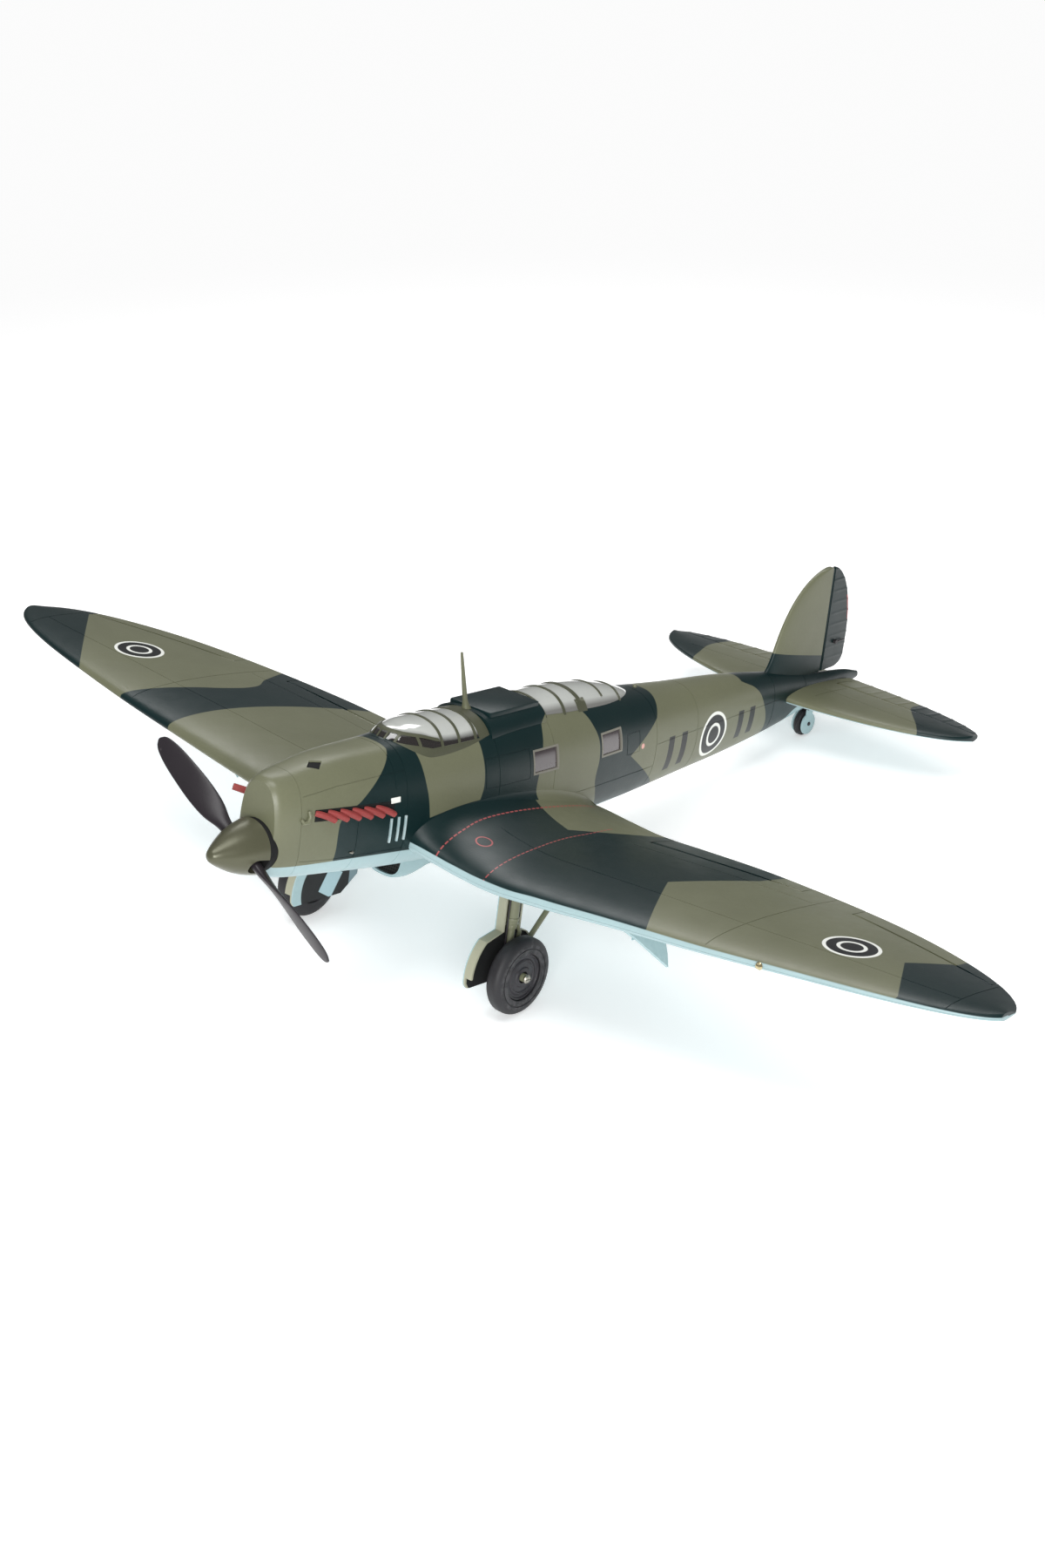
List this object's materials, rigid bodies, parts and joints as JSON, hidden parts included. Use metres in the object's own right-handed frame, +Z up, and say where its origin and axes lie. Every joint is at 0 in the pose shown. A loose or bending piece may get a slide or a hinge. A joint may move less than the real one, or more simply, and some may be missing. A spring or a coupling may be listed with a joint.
{
  "type": "model propeller plane",
  "caption": "Display model of a single-engined low-wing monoplane with elliptical gulled wings, glazed cockpits, fixed-down wheels and a two-blade propeller.",
  "frame": {"origin": "on the ground plane under the three wheels, below the middle of the bounding box", "axes": "+Z up from the ground, -Y towards the nose, +X towards the left wing tip; the fuselage sits about 11 degrees nose-up on its wheels"},
  "size_m": [0.2048, 0.1598, 0.049],
  "materials": {
    "olive_paint": "satin olive grey-green with dark green patches",
    "dark_green_paint": "satin dark green",
    "sky_blue_paint": "satin pale blue",
    "exhaust_paint": "matt rust red",
    "blade_paint": "satin charcoal",
    "tyre_paint": "satin black",
    "interior_paint": "matt dark grey",
    "clear_plastic": "clear with painted frames",
    "bare_metal": "satin",
    "brass_lamp": "polished"
  },
  "bodies": {
    "airframe": {"antenna_mast": "bare_metal", "axle_cap_left": "bare_metal", "axle_cap_right": "bare_metal", "cockpit_floor": "interior_paint", "control_column": "interior_paint", "deck_fairing": "dark_green_paint", "drag_strut_left": "olive_paint", "drag_strut_right": "olive_paint", "exhaust_left": "exhaust_paint", "exhaust_right": "exhaust_paint", "fin": "olive_paint", "front_canopy": "clear_plastic", "front_window_left": "clear_plastic", "front_window_right": "clear_plastic", "fuselage_left": "olive_paint", "fuselage_right": "olive_paint", "gear_leg_left": "olive_paint", "gear_leg_right": "olive_paint", "instrument_panel": "interior_paint", "landing_light": "brass_lamp", "leg_door_left": "sky_blue_paint", "leg_door_right": "sky_blue_paint", "nose_ring": "olive_paint", "pilot_seat": "interior_paint", "radiator_core": "interior_paint", "radiator_housing": "sky_blue_paint", "rear_canopy": "clear_plastic", "rear_seat": "interior_paint", "rear_window_left": "clear_plastic", "rear_window_right": "clear_plastic", "tail_wheel_fork": "blade_paint", "tailplane_left": "olive_paint", "tailplane_right": "olive_paint", "wheel_door_left": "sky_blue_paint", "wheel_door_right": "sky_blue_paint", "wing_lower_left": "sky_blue_paint", "wing_lower_right": "sky_blue_paint", "wing_spar": "interior_paint", "wing_upper_left": "olive_paint", "wing_upper_right": "olive_paint"},
    "propeller_assembly": {"spinner": "olive_paint", "propeller": "blade_paint", "prop_shaft": "bare_metal", "shaft_retainer": "bare_metal"},
    "main_wheel_left": {"main_tyre_left": "tyre_paint", "wheel_disc_left": "tyre_paint"},
    "main_wheel_right": {"main_tyre_right": "tyre_paint", "wheel_disc_right": "tyre_paint"},
    "tail_wheel_body": {"tail_wheel": "tyre_paint"},
    "rudder_body": {"rudder": "dark_green_paint"},
    "elevator_left_body": {"elevator_left": "olive_paint"},
    "elevator_right_body": {"elevator_right": "olive_paint"},
    "aileron_left_body": {"aileron_left": "olive_paint"},
    "aileron_right_body": {"aileron_right": "olive_paint"},
    "flap_left_body": {"flap_left": "olive_paint"},
    "flap_right_body": {"flap_right": "olive_paint"}
  },
  "joints": [
    {"name": "propeller_spin", "type": "hinge", "parent": "airframe", "child": "propeller_assembly", "pos_m": [0, -0.07327, 0.03476], "axis": [0, 0.9815, -0.1915], "continuous": true},
    {"name": "main_wheel_left_spin", "type": "hinge", "parent": "airframe", "child": "main_wheel_left", "pos_m": [0.0227, -0.03915, 0.00625], "axis": [1, 0, 0], "continuous": true},
    {"name": "main_wheel_right_spin", "type": "hinge", "parent": "airframe", "child": "main_wheel_right", "pos_m": [-0.0227, -0.03915, 0.00625], "axis": [1, 0, 0], "continuous": true},
    {"name": "tail_wheel_spin", "type": "hinge", "parent": "airframe", "child": "tail_wheel_body", "pos_m": [0, 0.06387, 0.0024], "axis": [1, 0, 0], "continuous": true},
    {"name": "rudder_hinge", "type": "hinge", "parent": "airframe", "child": "rudder_body", "pos_m": [0, 0.06802, 0.01157], "axis": [0, 0.1915, 0.9815], "range_deg": [-25, 25]},
    {"name": "elevator_left_hinge", "type": "hinge", "parent": "airframe", "child": "elevator_left_body", "pos_m": [0.0032, 0.06991, 0.00815], "axis": [-1, 0, 0], "range_deg": [-25, 25]},
    {"name": "elevator_right_hinge", "type": "hinge", "parent": "airframe", "child": "elevator_right_body", "pos_m": [-0.0032, 0.06991, 0.00815], "axis": [-1, 0, 0], "range_deg": [-25, 25]},
    {"name": "aileron_left_hinge", "type": "hinge", "parent": "airframe", "child": "aileron_left_body", "pos_m": [0.0664, -0.01333, 0.02187], "axis": [-0.9654, 0.2402, -0.1016], "range_deg": [-20, 20]},
    {"name": "aileron_right_hinge", "type": "hinge", "parent": "airframe", "child": "aileron_right_body", "pos_m": [-0.0664, -0.01333, 0.02187], "axis": [-0.9654, -0.2402, 0.1016], "range_deg": [-20, 20]},
    {"name": "flap_left_hinge", "type": "hinge", "parent": "airframe", "child": "flap_left_body", "pos_m": [0.026, -0.01077, 0.01775], "axis": [-0.9954, 0.0092, -0.0951], "range_deg": [0, 40]},
    {"name": "flap_right_hinge", "type": "hinge", "parent": "airframe", "child": "flap_right_body", "pos_m": [-0.026, -0.01077, 0.01775], "axis": [-0.9954, -0.0092, 0.0951], "range_deg": [0, 40]}
  ]
}
